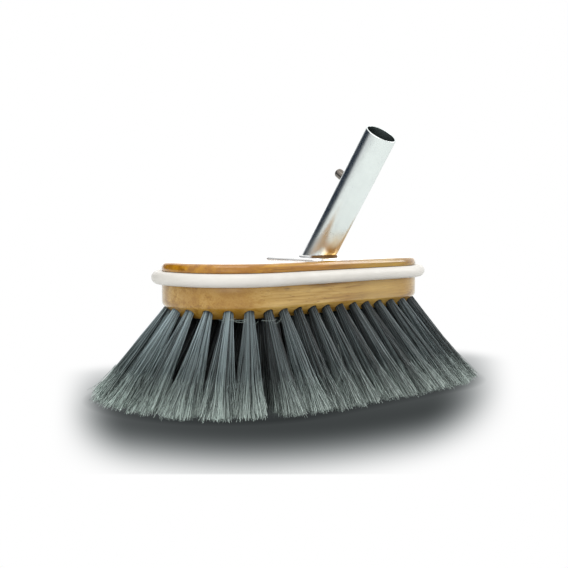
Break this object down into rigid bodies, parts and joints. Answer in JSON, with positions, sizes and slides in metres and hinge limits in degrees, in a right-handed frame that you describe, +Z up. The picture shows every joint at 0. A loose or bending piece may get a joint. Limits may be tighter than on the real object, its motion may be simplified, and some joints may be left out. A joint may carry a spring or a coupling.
{
  "type": "wash brush head",
  "caption": "Block wash brush head with flared soft bristles, a rub rail round the wooden block and a leaning tube with a snap button for a pole.",
  "frame": {"origin": "under the middle of the block, in the plane the bristle tips are trimmed to, which is the bottom centre of the bounding box", "axes": "+X along the block's length, +Z up from the tips to the block, and the pole tube leans towards -Y"},
  "size_m": [0.355, 0.209, 0.2133],
  "materials": {
    "varnished_hardwood": "gloss",
    "white_vinyl": "satin",
    "chromed_steel": "polished",
    "plated_steel": "satin",
    "spring_steel": "satin",
    "grey_bristle": "matte"
  },
  "bodies": {
    "brush": {"wood_block": "varnished_hardwood", "rub_rail": "white_vinyl", "rail_brad_1": "plated_steel", "rail_brad_2": "plated_steel", "base_plate": "chromed_steel", "weld_bead": "chromed_steel", "socket_tube": "chromed_steel", "plate_screw_1": "plated_steel", "plate_screw_2": "plated_steel", "plate_screw_3": "plated_steel", "plate_screw_4": "plated_steel", "snap_spring": "spring_steel", "outer_tuft_01": "grey_bristle", "outer_tuft_02": "grey_bristle", "outer_tuft_03": "grey_bristle", "outer_tuft_04": "grey_bristle", "outer_tuft_05": "grey_bristle", "outer_tuft_06": "grey_bristle", "outer_tuft_07": "grey_bristle", "outer_tuft_08": "grey_bristle", "outer_tuft_09": "grey_bristle", "outer_tuft_10": "grey_bristle", "outer_tuft_11": "grey_bristle", "outer_tuft_12": "grey_bristle", "outer_tuft_13": "grey_bristle", "outer_tuft_14": "grey_bristle", "outer_tuft_15": "grey_bristle", "outer_tuft_16": "grey_bristle", "outer_tuft_17": "grey_bristle", "outer_tuft_18": "grey_bristle", "outer_tuft_19": "grey_bristle", "outer_tuft_20": "grey_bristle", "outer_tuft_21": "grey_bristle", "outer_tuft_22": "grey_bristle", "outer_tuft_23": "grey_bristle", "outer_tuft_24": "grey_bristle", "outer_tuft_25": "grey_bristle", "outer_tuft_26": "grey_bristle", "outer_tuft_27": "grey_bristle", "outer_tuft_28": "grey_bristle", "outer_tuft_29": "grey_bristle", "outer_tuft_30": "grey_bristle", "outer_tuft_31": "grey_bristle", "outer_tuft_32": "grey_bristle", "outer_tuft_33": "grey_bristle", "outer_tuft_34": "grey_bristle", "outer_tuft_35": "grey_bristle", "outer_tuft_36": "grey_bristle", "outer_tuft_37": "grey_bristle", "outer_tuft_38": "grey_bristle", "inner_tuft_row_1": "grey_bristle", "inner_tuft_row_2": "grey_bristle", "inner_tuft_row_3": "grey_bristle", "inner_tuft_row_4": "grey_bristle", "inner_tuft_row_5": "grey_bristle"},
    "button": {"snap_button": "plated_steel"}
  },
  "joints": [
    {"name": "snap_button_slide", "type": "slide", "parent": "brush", "child": "button", "axis": [0, -0.8231, -0.5678], "range_m": [0, 0.0092], "stiffness_N_per_m": 1500, "springref_m": -0.003, "deforming": ["snap_spring"]}
  ]
}
